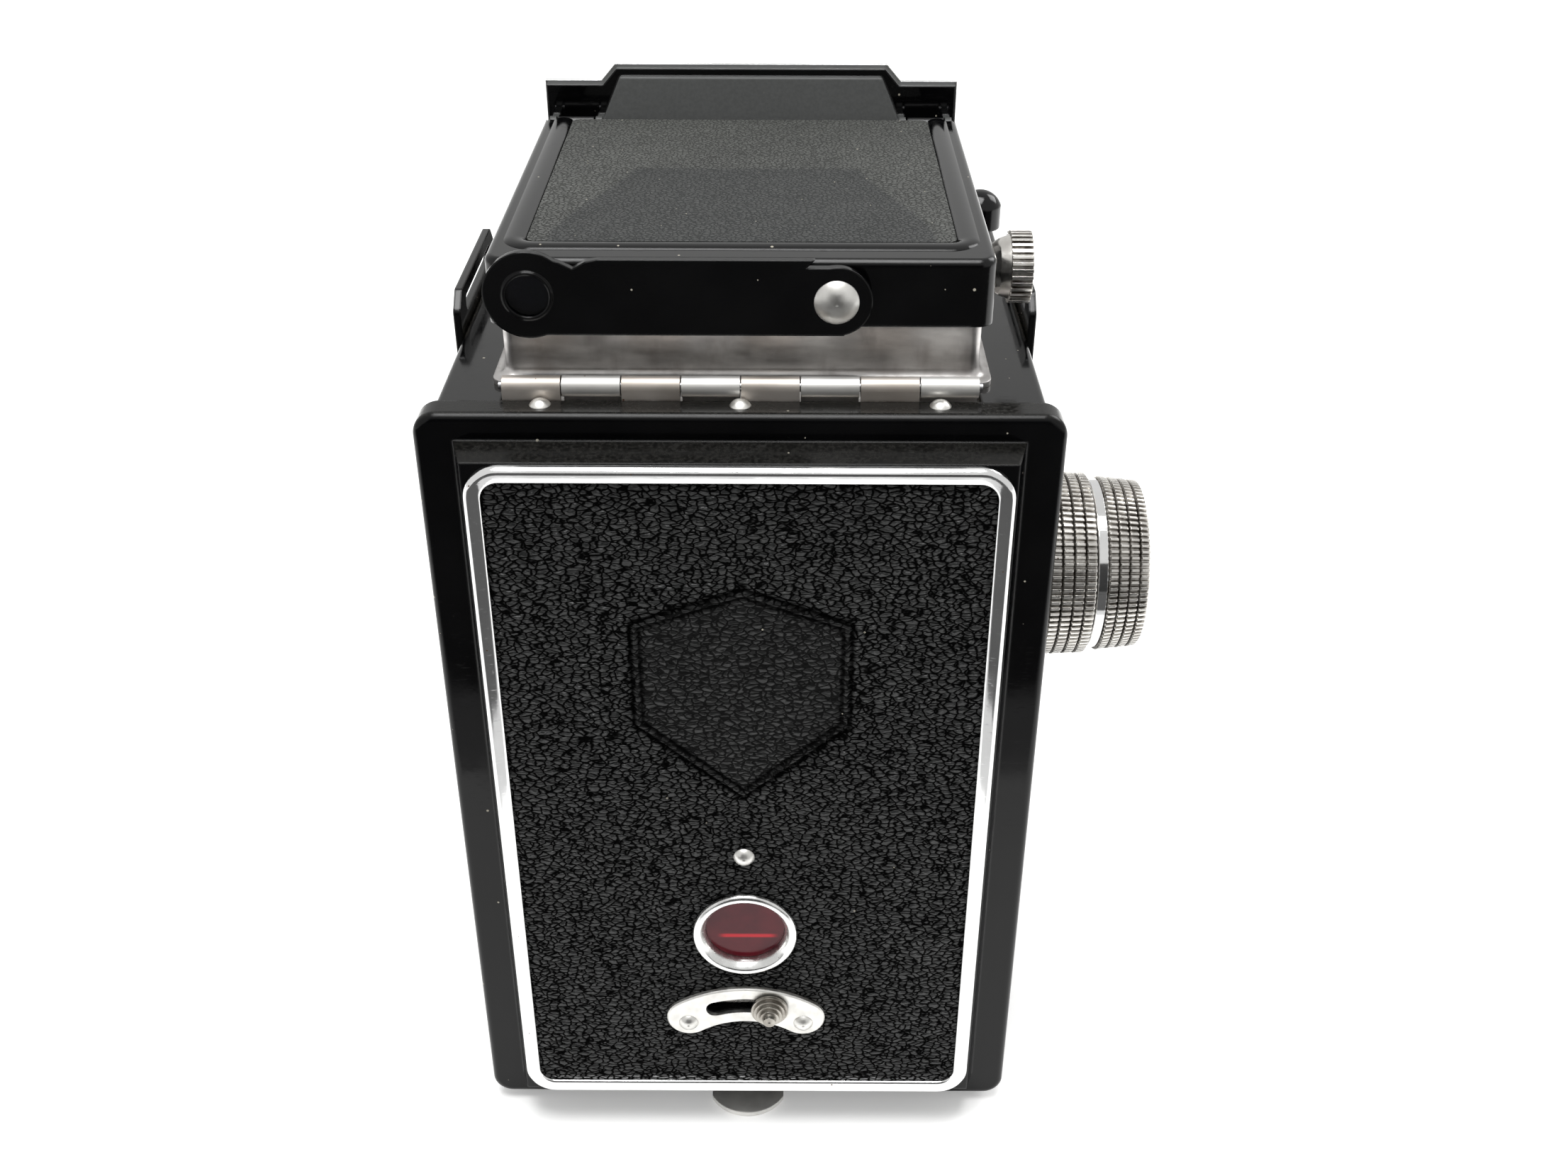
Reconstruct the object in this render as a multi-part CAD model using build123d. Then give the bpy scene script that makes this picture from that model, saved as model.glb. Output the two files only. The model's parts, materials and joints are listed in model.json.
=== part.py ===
from build123d import *
import math
import os

os.makedirs("parts", exist_ok=True)

# Twin lens reflex camera for 120 roll film. Millimetres, +Z up. The lenses look along -Y and the film
# door faces +Y. The origin is the mouth of the tripod socket, on the plane that the camera stands on.

# ---- driving dimensions -------------------------------------------------------------------------
DOOR_W, DOOR_BOTTOM, DOOR_TOP, DOOR_Y = 80.0, 1.5, 119.5, 39.0
DOOR_RIM_Y = 34.9
DOOR_WALL = 1.2
PANEL_RISE, PANEL_Z = 4.1, 61.15
LEATHER_W, LEATHER_BOTTOM, LEATHER_TOP = 62.8, 9.5, 112.6

BODY_W, BODY_BOTTOM, BODY_TOP = 76.4, 2.9, 118.2
BODY_FRONT_Y, BODY_BACK_Y = -39.0, 37.3
BODY_WALL = 1.4
ROOF_Z, FLOOR_T = 116.2, 1.2
SOCKET_R, SOCKET_DEPTH, BUSH_R = 3.175, 6.2, 6.0

GATE = 56.0
TAKING_Z, VIEWING_Z = 50.0, 89.0
GATE_Y = 36.4
MIRROR_Y = -2.0
SPOOL_R, SPOOL_W = 12.5, 63.9
TAKEUP_Y, TAKEUP_Z = 22.0, 89.1
SUPPLY_Y, SUPPLY_Z = -19.0, 17.0
FRAME_W, FRAME_WALL = 65.2, 1.2
ROLLER_R, ROLLER_Y = 2.0, 34.7
ROLLER_LOW_Z, ROLLER_HIGH_Z = 17.3, 81.2

HINGE_Y, HINGE_Z, HINGE_R, PIN_R = 33.4, 120.8, 1.3, 0.6
HINGE_W = 58.8
KNUCKLES = 8

HOOD_W, HOOD_BACK_Y, HOOD_FRONT_Y, HOOD_TOP = 60.4, 26.3, -32.2, 126.5
LID_W, LID_BACK_Y, LID_FRONT_Y = 62.6, 29.0, -32.0
LID_BOTTOM, LID_TOP, LID_WALL = 126.9, 135.5, 1.0
LID_PIVOT_Y, LID_PIVOT_Z = -33.4, 134.2
SHOULDER_Z, CREST_Z = 139.0, 141.5
FLAP_X, FLAP_Z, FLAP_LENGTH = 28.3, 125.7, 26.6
FLAP_FRONT_Y, FLAP_BACK_Y = -18.0, 22.0

ARM_Y, ARM_T = 30.0, 1.0
ARM_PIVOT_X, ARM_PIVOT_Z = -11.7, 130.9
ARM_EYE_X, ARM_EYE_Z, ARM_EYE_R = 25.8, 131.6, 5.5

WINDOW_Z, WINDOW_R = 39.7, 5.65
SWING_Z, SWING_R, SWING_REST = 11.1, 15.0, 13.5

KNOB_R, KNOB_IN_X, KNOB_SPLIT_X, KNOB_OUT_X = 12.6, -39.0, -46.8, -54.2
CATCH_Y, CATCH_Z, CATCH_R = 17.0, 130.3, 4.6
RELEASE_X, RELEASE_Y = -35.1, -26.0

SHUTTER_R, HUB_R = 21.5, 13.0
RUN = 0.08


# ---- shapes that the pieces share ---------------------------------------------------------------
def block(x0, x1, y0, y1, z0, z1):
    return Pos((x0 + x1) / 2, (y0 + y1) / 2, (z0 + z1) / 2) * Box(x1 - x0, y1 - y0, z1 - z0)


def rod_x(x0, x1, y, z, r):
    return Pos((x0 + x1) / 2, y, z) * Rot(0, 90, 0) * Cylinder(r, x1 - x0)


def rod_y(x, y0, y1, z, r):
    return Pos(x, (y0 + y1) / 2, z) * Rot(90, 0, 0) * Cylinder(r, y1 - y0)


def rod_z(x, y, z0, z1, r):
    return Pos(x, y, (z0 + z1) / 2) * Cylinder(r, z1 - z0)


def turned_x(profile, y, z):
    """A solid of revolution about a line along X, from (x, radius) points."""
    face = Plane.XZ * make_face(Polyline(*profile, close=True))
    return Pos(0, y, z) * revolve(face, Axis.X)


def turned_y(profile, x, z):
    """A solid of revolution about a line along Y, from (radius, y) points."""
    face = make_face(Polyline(*profile, close=True))
    return Pos(x, 0, z) * revolve(face, Axis.Y)


def at_back(sketch, y, thickness):
    """An outline in x and z, laid at y and thickened towards +Y."""
    plane = Plane(origin=(0, y, 0), x_dir=(1, 0, 0), z_dir=(0, -1, 0))
    return extrude(plane * sketch, -thickness)


def rounded_panel(width, z0, z1, radius, y, thickness):
    outline = Pos(0, (z0 + z1) / 2) * RectangleRounded(width, z1 - z0, radius)
    return at_back(outline, y, thickness)


def dome(r, rise, base=0.0):
    """A shallow spherical cap of radius r that rises along +Z, on a straight base below z = 0."""
    ball_r = (r * r + rise * rise) / (2 * rise)
    crown = CenterArc((0, rise - ball_r), ball_r, 90, -math.degrees(math.asin(r / ball_r)))
    corners = [(0, rise), (0, -base), (r, -base), (r, 0)] if base else [(0, rise), (0, 0), (r, 0)]
    sides = Polyline(*corners)
    return revolve(Plane.XZ * make_face([crown.edge(), *sides.edges()]), Axis.Z)


def dome_y(x, z, y, r, rise):
    return Pos(x, y, z) * Rot(-90, 0, 0) * dome(r, rise)


def dome_z(x, y, z, r, rise):
    return Pos(x, y, z) * dome(r, rise)


def lens_disc(z, y_back, y_edge, r, bulge):
    """A glass with a flat back at y_back and a convex face that rises by bulge towards -Y."""
    return Pos(0, y_edge, z) * Rot(90, 0, 0) * dome(r, bulge, y_back - y_edge)


def swing_slot(half_angle, height):
    """An arched slot outline about the hidden pivot of the window shutter."""
    arc = CenterArc((0, SWING_Z), SWING_R, 90 - half_angle, 2 * half_angle)
    return SlotArc(arc, height)


def save(shape, name):
    shape.label = name
    export_step(shape, f"parts/{name}.step")


# ---- body ---------------------------------------------------------------------------------------
def body_shell():
    half = BODY_W / 2
    shell = block(-half, half, BODY_FRONT_Y, BODY_BACK_Y, BODY_BOTTOM, BODY_TOP)
    shell = fillet(shell.edges().filter_by(Axis.Z).group_by(Axis.Y)[0], 4.0)
    front_edges = shell.faces().sort_by(Axis.Y)[0].edges()
    shell = fillet(front_edges, 0.8)
    inner = half - BODY_WALL
    shell -= block(-inner, inner, BODY_FRONT_Y + BODY_WALL, BODY_BACK_Y + 1, BODY_BOTTOM - 1, ROOF_Z)
    shell -= block(-27, 27, -29.2, 23.4, ROOF_Z - 1, BODY_TOP + 1)
    shell -= block(-30, 30, 29.0, BODY_BACK_Y + 1, BODY_TOP - 0.7, BODY_TOP + 1)
    shell -= rod_y(0, -41, -36, TAKING_Z, 15.5)
    shell -= rod_y(0, -41, -36, VIEWING_Z, 14.0)
    shell -= rod_x(-40, -36, TAKEUP_Y, TAKEUP_Z, 6.0 + RUN)
    for y, z in ((TAKEUP_Y, TAKEUP_Z), (SUPPLY_Y, SUPPLY_Z)):
        shell -= rod_x(36, 40, y, z, 2.4 + RUN)
    shell -= rod_z(RELEASE_X, RELEASE_Y, ROOF_Z - 1, BODY_TOP + 1, 1.5 + RUN)
    return shell


def base_plate():
    """The bottom plate, with a raised floor that fits inside the body's walls."""
    outline = Pos(0, -1.4) * RectangleRounded(72, 71.2, 5)
    plate = extrude(outline, BODY_BOTTOM)
    plate = chamfer(plate.faces().sort_by(Axis.Z)[0].edges(), 0.6)
    inner = BODY_W / 2 - BODY_WALL
    plate += block(-inner, inner, BODY_FRONT_Y + BODY_WALL, 34.0, BODY_BOTTOM, BODY_BOTTOM + FLOOR_T)
    plate -= block(-6.0, 6.0, 19.0, 36.0, -0.1, 1.3)
    return plate - rod_z(0, 0, -1, BODY_BOTTOM + FLOOR_T + 1, BUSH_R)


def tripod_bush():
    bush = rod_z(0, 0, 0, SOCKET_DEPTH + 1.2, BUSH_R)
    bush = chamfer(bush.edges().group_by(Axis.Z)[-1], 0.4)
    return bush - rod_z(0, 0, -1, SOCKET_DEPTH, SOCKET_R)


def inner_frame():
    """Side plates, film gate and the tapered tunnel behind the taking lens, as one casting."""
    half = FRAME_W / 2
    frame = Part() + block(-half, half, GATE_Y - 1.4, GATE_Y, 19.8, 78.9)
    for side in (-1, 1):
        x0, x1 = sorted((side * half, side * (half + FRAME_WALL)))
        frame += block(x0, x1, -34.0, GATE_Y, 4.5, 112.0)
    rear_y, front_y = GATE_Y - 1.4, BODY_FRONT_Y + BODY_WALL
    for grow, cut in ((1.6, False), (0.0, True)):
        rear = Plane(origin=(0, rear_y, TAKING_Z), z_dir=(0, 1, 0)) * Rectangle(GATE + grow, GATE + grow)
        front = Plane(origin=(0, front_y, TAKING_Z), z_dir=(0, 1, 0)) * Rectangle(28 + grow, 28 + grow)
        tunnel = loft([rear, front])
        frame = frame - tunnel if cut else frame + tunnel
    frame -= block(-GATE / 2, GATE / 2, GATE_Y - 2, GATE_Y + 1, TAKING_Z - GATE / 2, TAKING_Z + GATE / 2)
    for z in (ROLLER_LOW_Z, ROLLER_HIGH_Z):
        frame -= rod_x(-40, 40, ROLLER_Y, z, 0.9 + RUN)
    frame -= rod_x(-36, -30, TAKEUP_Y, TAKEUP_Z, 4.0 + RUN)
    for y, z in ((TAKEUP_Y, TAKEUP_Z), (SUPPLY_Y, SUPPLY_Z)):
        frame -= rod_x(30, 36, y, z, 2.4 + RUN)
    frame += rod_x(-half, -half + 3.0, SUPPLY_Y, SUPPLY_Z, 2.4)
    return frame


def mirror_plane():
    return Plane(origin=(0, MIRROR_Y, VIEWING_Z), x_dir=(1, 0, 0), z_dir=(0, -1, 1))


def finder_mirror():
    corners = ((-20, -24.5), (20, -24.5), (29, -6), (29, 36), (-29, 36), (-29, -6))
    outline = make_face(Polyline(*corners, close=True))
    return extrude(mirror_plane() * outline, -1.6)


def mirror_carrier():
    outline = Pos(0, 5.6) * RectangleRounded(64.4, 60.2, 1.5)
    backing = extrude(mirror_plane().offset(-1.6) * outline, -1.0)
    for side in (-1, 1):
        lip = Pos(side * 31.0, 10) * Rectangle(1.2, 40)
        backing += extrude(mirror_plane().offset(-1.6) * lip, 2.2)
    return backing


def screen_frame():
    frame = block(-29.2, 29.2, -31.2, 25.2, BODY_TOP, 122.2)
    return frame - block(-27, 27, -29.2, 23.4, BODY_TOP - 1, 123)


def ground_glass():
    glass = block(-29.0, 29.0, -31.0, 25.0, 122.2, 123.8)
    return chamfer(glass.faces().sort_by(Axis.Z)[-1].edges(), 0.3)


def hood_base():
    flange = extrude(Pos(0, (28.0 - 33.7) / 2, BODY_TOP) * RectangleRounded(63.4, 61.7, 1.6), 0.8)
    depth = HOOD_BACK_Y - HOOD_FRONT_Y
    middle = (HOOD_BACK_Y + HOOD_FRONT_Y) / 2
    wall = extrude(Pos(0, middle, BODY_TOP) * RectangleRounded(HOOD_W, depth, 1.2), HOOD_TOP - BODY_TOP)
    skirt = flange + wall
    inner_corner = skirt.edges().filter_by(
        lambda e: abs(e.center().Z - BODY_TOP - 0.8) < 0.01
        and abs(e.center().X) < HOOD_W / 2 + 0.05
        and HOOD_FRONT_Y - 0.05 < e.center().Y < HOOD_BACK_Y + 0.05
    )
    skirt = fillet(inner_corner, 1.1)
    inside = extrude(Pos(0, middle, BODY_TOP - 1) * RectangleRounded(HOOD_W - 1.6, depth - 1.6, 0.5), 12)
    skirt -= inside
    for side in (-1, 1):
        for y in (FLAP_FRONT_Y + 1.0, 18.0):
            ear = block(*sorted((side * 29.5, side * 27.7)), y, y + 1.2, FLAP_Z - 1.7, FLAP_Z)
            ear += rod_y(side * FLAP_X, y, y + 1.2, FLAP_Z, 0.9)
            skirt += ear - rod_y(side * FLAP_X, y - 1, y + 3, FLAP_Z, 0.42)
    return skirt


def flap_pins():
    pins = [rod_y(side * FLAP_X, FLAP_FRONT_Y + 0.6, 20.4, FLAP_Z, 0.4) for side in (-1, 1)]
    return Compound(children=pins)


def side_flap(side):
    """A sheet that folds flat inwards under the lid, with its front corner cut away."""
    tip = FLAP_X - FLAP_LENGTH
    outline = Polyline(
        (FLAP_X - 0.5, FLAP_FRONT_Y - 2), (FLAP_X - 6, FLAP_FRONT_Y - 2), (tip, FLAP_FRONT_Y + 9),
        (tip, FLAP_BACK_Y - 1.5), (tip + 1.5, FLAP_BACK_Y), (FLAP_X - 0.5, FLAP_BACK_Y), close=True)
    sheet = extrude(Pos(0, 0, FLAP_Z + 0.2) * make_face(outline), 0.6)
    sheet += rod_y(FLAP_X, FLAP_FRONT_Y - 2, FLAP_BACK_Y, FLAP_Z, 0.8)
    for y in (FLAP_FRONT_Y + 1.0, 18.0):
        sheet -= block(FLAP_X - 1.6, FLAP_X + 2, y - 0.3, y + 1.5, FLAP_Z - 2, FLAP_Z + 2)
    sheet -= rod_y(FLAP_X, -40, 40, FLAP_Z, 0.4 + RUN / 2)
    return sheet if side > 0 else mirror(sheet, about=Plane.YZ)


def front_outline(grow):
    side, shoulder, crest = 31.5 + grow, SHOULDER_Z + grow, CREST_Z + grow
    return [(-side, shoulder), (-22.8 - grow, shoulder), (-20.6 - grow, crest),
            (20.6 + grow, crest), (22.8 + grow, shoulder), (side, shoulder)]


def hood_front():
    """The upright wall in front of the hood, with a raised middle that slopes down to the lid."""
    outline = make_face(Polyline(*front_outline(0), (31.5, BODY_TOP), (-31.5, BODY_TOP), close=True))
    wall = at_back(outline, BODY_FRONT_Y, 1.5)
    low = Plane(origin=(0, -36.2, 133.4)) * Rectangle(46.4, 3.6)
    high = Plane(origin=(0, -37.45, 140.4)) * Rectangle(40.2, 1.1)
    slope = loft([low, high])
    wall += fillet(slope.faces().sort_by(Axis.Z)[-1].edges(), 0.4)
    for side in (-1, 1):
        for x in (23.2, 30.2):
            x0, x1 = side * x - 0.5, side * x + 0.5
            wall += block(x0, x1, -38.0, LID_PIVOT_Y, LID_PIVOT_Z - 1.1, LID_PIVOT_Z + 0.4)
            wall += rod_x(x0, x1, LID_PIVOT_Y, LID_PIVOT_Z, 1.1)
        x0, x1 = sorted((side * 20, side * 32))
        wall -= rod_x(x0, x1, LID_PIVOT_Y, LID_PIVOT_Z, PIN_R)
    return wall


def front_escutcheon():
    outline = make_face(Polyline(*front_outline(0.35), (31.85, 115.5), (-31.85, 115.5), close=True))
    return at_back(outline, BODY_FRONT_Y - 0.6, 0.6)


def lid_hinge_pins():
    pins = [rod_x(*sorted((side * 22.9, side * 30.9)), LID_PIVOT_Y, LID_PIVOT_Z, PIN_R) for side in (-1, 1)]
    return Compound(children=pins)


def knuckle_spans(first):
    pitch = HINGE_W / KNUCKLES
    return [(-HINGE_W / 2 + pitch * i + 0.08, -HINGE_W / 2 + pitch * (i + 1) - 0.08)
            for i in range(first, KNUCKLES, 2)]


def hinge_leaf(first, riser_y, foot):
    """Half of the piano hinge: alternate knuckles, each with a riser down to a shared foot."""
    leaf = Part() + block(-HINGE_W / 2, HINGE_W / 2, *foot)
    for x0, x1 in knuckle_spans(first):
        leaf += block(x0, x1, riser_y, riser_y + 0.6, foot[2] + 0.1, HINGE_Z)
        leaf += rod_x(x0, x1, HINGE_Y, HINGE_Z, HINGE_R)
    return leaf - rod_x(-40, 40, HINGE_Y, HINGE_Z, PIN_R + RUN)


def hinge_pin():
    return rod_x(-HINGE_W / 2 - 0.4, HINGE_W / 2 + 0.4, HINGE_Y, HINGE_Z, PIN_R)


def side_leather(side):
    x = side * (BODY_W / 2)
    x0, x1 = sorted((x, x + side * 0.6))
    sheet = block(x0, x1, -34.0, 34.0, 6.0, 106.0)
    sheet = fillet(sheet.edges().filter_by(Axis.X), 2.5)
    if side < 0:
        sheet -= rod_x(-40, -37, TAKEUP_Y, TAKEUP_Z, 6.6)
    else:
        for y, z in ((TAKEUP_Y, TAKEUP_Z), (SUPPLY_Y, SUPPLY_Z)):
            sheet -= rod_x(37, 40, y, z, 5.0)
    return sheet


def strap_lug(side):
    """A stamped plate on the side wall whose slotted end stands above the body's top."""
    outline = make_face(Polyline((11.5, 107.5), (-19.5, 107.5), (-19.5, 119.0), (-15.5, 123.8),
                                 (9.0, 123.8), (11.5, 121.5), close=True))
    plate = extrude(Plane.YZ * outline, 1.0)
    plate = fillet(plate.edges().filter_by(Axis.X), 1.0)
    slot = Pos(-3.5, 120.9) * SlotOverall(21.0, 2.2)
    plate -= Pos(-1, 0, 0) * extrude(Plane.YZ * slot, 3.0)
    x = BODY_W / 2 if side > 0 else -BODY_W / 2 - 1.0
    return Pos(x, 0, 0) * plate


# ---- film door ----------------------------------------------------------------------------------
def door_shell():
    half = DOOR_W / 2
    tray = rounded_panel(DOOR_W, DOOR_BOTTOM, DOOR_TOP, 3.0, DOOR_RIM_Y, DOOR_Y - DOOR_RIM_Y)
    tray = fillet(tray.faces().sort_by(Axis.Y)[-1].edges(), 1.0)
    inner = half - 1.4
    tray -= block(-inner, inner, DOOR_RIM_Y - 1, DOOR_Y - DOOR_WALL, DOOR_BOTTOM + 1.1, DOOR_TOP - 1.0)
    foot = panel_outline(DOOR_Y - 0.2, 70.2, 110.0)
    crown = panel_outline(DOOR_Y + PANEL_RISE, 67.6, 107.8)
    tray += loft([foot, crown])
    tray -= block(-32, 32, DOOR_RIM_Y, DOOR_Y + PANEL_RISE - DOOR_WALL, 9.0, 113.0)
    tray -= rod_y(0, 36, 46, WINDOW_Z, 6.6)
    tray -= at_back(swing_slot(17.5, 3.6), 36, 10)
    tray += rod_y(0, 40.0, DOOR_Y + PANEL_RISE - 1.0, SWING_Z, 1.0)
    return tray


def panel_outline(y, width, height):
    return Plane(origin=(0, y, PANEL_Z), x_dir=(1, 0, 0), z_dir=(0, 1, 0)) * Rectangle(width, height)


def door_bezel():
    y = DOOR_Y + PANEL_RISE
    ring = rounded_panel(67.2, 7.4, 114.9, 4.2, y, 1.2)
    ring -= rounded_panel(LEATHER_W, LEATHER_BOTTOM, LEATHER_TOP, 2.4, y - 1, 4.0)
    return fillet(ring.faces().sort_by(Axis.Y)[-1].edges(), 0.5)


def door_leather():
    y = DOOR_Y + PANEL_RISE
    sheet = rounded_panel(LEATHER_W, LEATHER_BOTTOM, LEATHER_TOP, 2.4, y, 0.6)
    sheet -= rod_y(0, y - 1, y + 2, WINDOW_Z, 6.6)
    return sheet - at_back(swing_slot(17.5, 3.6), y - 1, 3)


def window_ring():
    y = DOOR_Y + PANEL_RISE + 0.6
    profile = [(4.9, y - 2.7), (6.6, y - 2.7), (6.6, y), (7.5, y), (7.5, y + 0.35), (7.1, y + 0.65),
               (6.5, y + 0.65), (6.2, y + 0.2), (WINDOW_R, y - 0.2), (WINDOW_R, y - 2.1), (4.9, y - 2.1)]
    return turned_y(profile, 0, WINDOW_Z)


def window_glass():
    y = DOOR_Y + PANEL_RISE - 1.5
    return rod_y(0, y, y + 0.8, WINDOW_Z, WINDOW_R)


def slot_plate():
    y = DOOR_Y + PANEL_RISE + 0.6
    plate = at_back(swing_slot(34.0, 6.6), y, 0.7)
    plate = chamfer(plate.faces().sort_by(Axis.Y)[-1].edges(), 0.2)
    return plate - at_back(swing_slot(17.5, 2.7), y - 1, 3)


def door_rivets():
    y = DOOR_Y + PANEL_RISE + 0.6
    heads = [dome_z(x, 36.0, DOOR_TOP, 1.35, 0.8) for x in (-24.5, 0, 24.5)]
    heads.append(dome_y(0, 54.1, y, 1.5, 0.9))
    heads += [dome_y(x, 22.6, y + 0.7, 1.45, 0.8) for x in (-8.5, 8.5)]
    return Compound(children=heads)


def pressure_plate():
    plate = rounded_panel(62.0, 20.5, 79.5, 2.0, 37.1, 0.6)
    return plate - rod_y(0, 36, 39, WINDOW_Z, 6.5)


def pressure_spring():
    """A bowed leaf between the pressure plate and the inside of the door's raised panel."""
    inside, outside = 37.7, DOOR_Y + PANEL_RISE - DOOR_WALL
    leaf = Polyline((-24, inside), (-19, inside), (-8, outside - 0.4), (8, outside - 0.4), (19, inside),
                    (24, inside), (24, inside + 0.4), (19.3, inside + 0.4), (8.3, outside), (-8.3, outside),
                    (-19.3, inside + 0.4), (-24, inside + 0.4), close=True)
    return extrude(Pos(0, 0, 58) * make_face(leaf), 13)


# ---- window shutter and latch -------------------------------------------------------------------
def about_swing(shape, degrees):
    """Turn a shape that hangs at twelve o'clock about the shutter's pivot, towards -X."""
    return Pos(0, 0, SWING_Z) * Rot(0, -degrees, 0) * Pos(0, 0, -SWING_Z) * shape


def window_blade():
    y = 40.2
    knob_arm = block(-1.6, 1.6, y, y + 0.8, SWING_Z, SWING_Z + SWING_R)
    disc_arm = block(-2.5, 2.5, y, y + 0.8, SWING_Z, SWING_Z + 24)
    blade = about_swing(knob_arm + rod_y(0, y, y + 0.8, SWING_Z + SWING_R, 2.2), SWING_REST)
    blade += about_swing(disc_arm + rod_y(0, y, y + 0.8, WINDOW_Z, 6.3), SWING_REST + 14.5)
    blade += rod_y(0, y, y + 0.8, SWING_Z, 2.0)
    return blade - rod_y(0, y - 1, y + 2, SWING_Z, 1.0 + RUN)


def window_knob():
    """A stepped cone on a stem that passes through the arched slot."""
    base = DOOR_Y + PANEL_RISE + 1.5
    profile = [(0, 41.0), (1.2, 41.0), (1.2, base), (2.7, base), (2.7, base + 0.5)]
    for step, r in enumerate((2.3, 1.85, 1.4)):
        profile += [(r, base + 0.5 * (step + 1)), (r, base + 0.5 * (step + 2))]
    profile += [(1.0, base + 2.0), (0.9, base + 2.7), (0, base + 2.9)]
    return about_swing(turned_y(profile, 0, SWING_Z + SWING_R), SWING_REST)


def latch_slide():
    """A flat tongue in the base plate's channel, with a rounded thumb end behind the door."""
    tongue = block(-5.6, 5.6, 21.0, 38.0, 0.1, 0.9)
    thumb = rod_z(0, 36.1, 0.1, 0.9, 6.3) & block(-5.6, 5.6, 30.0, 42.5, 0, 1)
    return tongue + thumb - block(-2, 2, 24, 31, -1, 2)


# ---- hood lid -----------------------------------------------------------------------------------
def hood_lid():
    half = LID_W / 2
    lid = block(-half, half, LID_FRONT_Y, LID_BACK_Y, LID_BOTTOM, LID_TOP)
    lid = fillet(lid.edges().filter_by(Axis.Z).group_by(Axis.Y)[-1], 2.2)
    lid = fillet(lid.faces().sort_by(Axis.Z)[-1].edges(), 0.9)
    inner = half - LID_WALL
    lid -= block(-inner, inner, LID_FRONT_Y + LID_WALL, LID_BACK_Y - LID_WALL, LID_BOTTOM - 1, LID_TOP - 1.2)
    lid -= block(-27.0, 27.0, -31.0, 23.0, LID_TOP - 0.5, LID_TOP + 1)
    for side in (-1, 1):
        x0, x1 = sorted((side * 24.0, side * 29.4))
        clear0, clear1 = sorted((side * 22.3, side * 31.0))
        lid -= block(clear0, clear1, LID_FRONT_Y - 1, LID_PIVOT_Y + 2.6, LID_PIVOT_Z - 2.2, LID_TOP + 1)
        lid += rod_x(x0, x1, LID_PIVOT_Y, LID_PIVOT_Z, 1.1)
        lid += block(x0, x1, LID_PIVOT_Y, LID_PIVOT_Y + 2.4, LID_PIVOT_Z - 0.2, LID_PIVOT_Z + 0.6)
        lid -= rod_x(x0 - 1, x1 + 1, LID_PIVOT_Y, LID_PIVOT_Z, PIN_R + RUN)
    lid -= rod_x(-33, -29, CATCH_Y, CATCH_Z, 1.6 + RUN)
    return lid


def lid_leather():
    sheet = block(-26.8, 26.8, -30.8, 22.8, LID_TOP - 0.5, LID_TOP + 0.1)
    return fillet(sheet.edges().filter_by(Axis.Z), 1.2)


def arm_pivot():
    button = dome_y(ARM_PIVOT_X, ARM_PIVOT_Z, ARM_Y + ARM_T + 0.1, 2.8, 1.3)
    return button + rod_y(ARM_PIVOT_X, LID_BACK_Y, ARM_Y + ARM_T + 0.1, ARM_PIVOT_Z, 1.4)


def sight_arm():
    """A stamped arm on the lid's rear face: a round eye at one end, the pivot at the other."""
    top, low = 136.2, 126.5
    bar = Polyline((ARM_EYE_X, low), (ARM_PIVOT_X - 1.0, low), (ARM_PIVOT_X - 1.0, 135.2), (-8.0, 135.2),
                   (-9.0, top), (17.0, top), (18.6, 135.9), (20.2, 135.0), (21.8, 135.8), (ARM_EYE_X, 137.0),
                   close=True)
    arm = at_back(make_face(bar), ARM_Y, ARM_T)
    arm += rod_y(ARM_EYE_X, ARM_Y, ARM_Y + ARM_T, ARM_EYE_Z, ARM_EYE_R)
    arm += rod_y(ARM_PIVOT_X, ARM_Y, ARM_Y + ARM_T, ARM_PIVOT_Z, 4.4)
    arm -= rod_y(ARM_PIVOT_X, ARM_Y - 1, ARM_Y + 3, ARM_PIVOT_Z, 1.4 + RUN)
    arm -= rod_y(ARM_EYE_X, ARM_Y - 1, ARM_Y + 3, ARM_EYE_Z, 2.65)
    rim = rod_y(ARM_EYE_X, ARM_Y + ARM_T, ARM_Y + ARM_T + 0.3, ARM_EYE_Z, 3.1)
    return arm + rim - rod_y(ARM_EYE_X, ARM_Y - 1, ARM_Y + 3, ARM_EYE_Z, 2.65)


def sight_lens():
    return rod_y(ARM_EYE_X, ARM_Y + 0.1, ARM_Y + 0.9, ARM_EYE_Z, 2.65)


def catch_knob():
    """The knurled wheel on the lid's side, with its shaft and the small catch inside the lid."""
    teeth, x0, x1 = 33, -36.8, -34.1
    points = []
    for i in range(teeth):
        for turn, r in ((0.0, CATCH_R), (0.45, CATCH_R), (0.55, CATCH_R - 0.4), (0.9, CATCH_R - 0.4)):
            a = 2 * math.pi * (i + turn) / teeth
            points.append((r * math.cos(a), r * math.sin(a)))
    wheel = extrude(Plane.YZ * make_face(Polyline(*points, close=True)), x1 - x0)
    wheel = Pos(x0, CATCH_Y, CATCH_Z) * wheel
    neck = [(x1, 0), (x1, 4.1), (x1 + 1.3, 3.6), (-31.8, 2.9), (-31.8, 1.6), (-30.1, 1.6), (-30.1, 2.3),
            (-29.4, 2.3), (-29.4, 0)]
    return wheel + turned_x(neck, CATCH_Y, CATCH_Z)


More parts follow.
